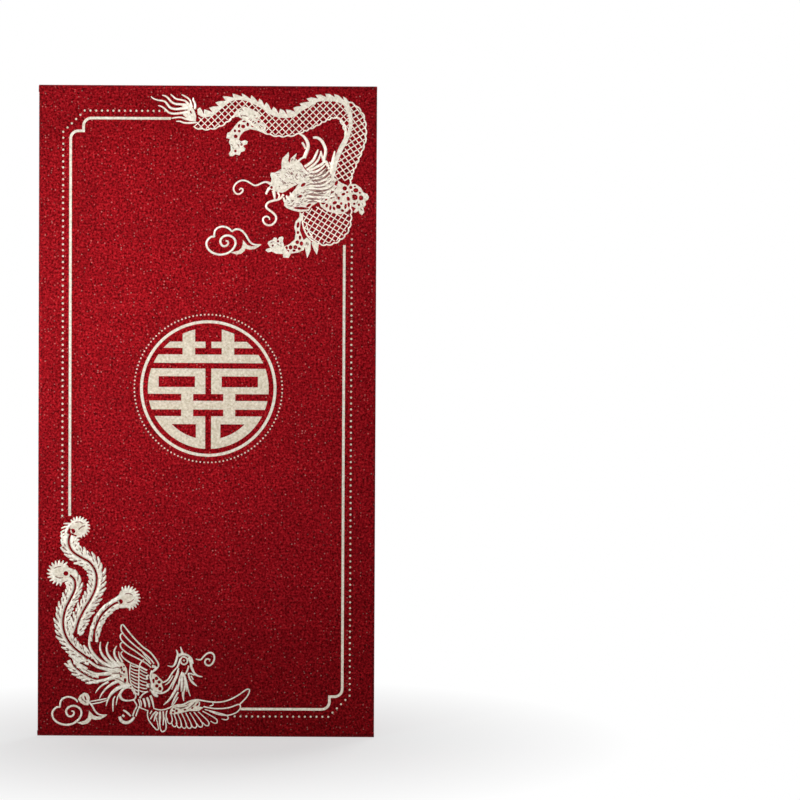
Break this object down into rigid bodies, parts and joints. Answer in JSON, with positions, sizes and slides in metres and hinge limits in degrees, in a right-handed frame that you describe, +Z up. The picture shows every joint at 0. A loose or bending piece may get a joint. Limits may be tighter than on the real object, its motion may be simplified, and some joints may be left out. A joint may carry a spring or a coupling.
{
  "type": "red envelope",
  "caption": "Flat folded card gift envelope: pocket with glued side seam and bottom flap, round-edged closing flap tucked under a half-round lock tab, stamped foil on the front.",
  "frame": {"origin": "middle of the lower folded edge, where the envelope stands", "axes": "+X across to the right as seen from the front, +Y from the front to the flap's side, +Z up to the closing flap's crease"},
  "size_m": [0.087, 0.0024, 0.168],
  "materials": {
    "card": "pearl card with fine glitter",
    "foil": "champagne stamped foil",
    "glue": "dried glue"
  },
  "bodies": {
    "pocket": {"front_panel": "card", "back_panel": "card", "side_strip": "card", "seam_glue": "glue", "bottom_flap": "card", "bottom_glue": "glue", "side_fold": "card", "seam_fold": "card", "bottom_fold": "card", "top_fold": "card", "border_line_foil": "foil", "border_dot_foil": "foil", "ring_foil": "foil", "ring_dot_foil": "foil"},
    "flap": {"top_flap": "card"},
    "tab": {"lock_tab": "card"}
  },
  "joints": [
    {"name": "flap_fold", "type": "hinge", "parent": "pocket", "child": "flap", "pos_m": [0, -0.00017, 0.167], "axis": [1, 0, 0], "range_deg": [0, 180], "deforming": ["top_fold", "lock_tab"]},
    {"name": "tab_lift", "type": "hinge", "parent": "pocket", "child": "tab", "pos_m": [0, 0.00028, 0.1374], "axis": [-1, 0, 0], "range_deg": [0, 60], "stiffness_Nm_per_rad": 0.00005}
  ]
}
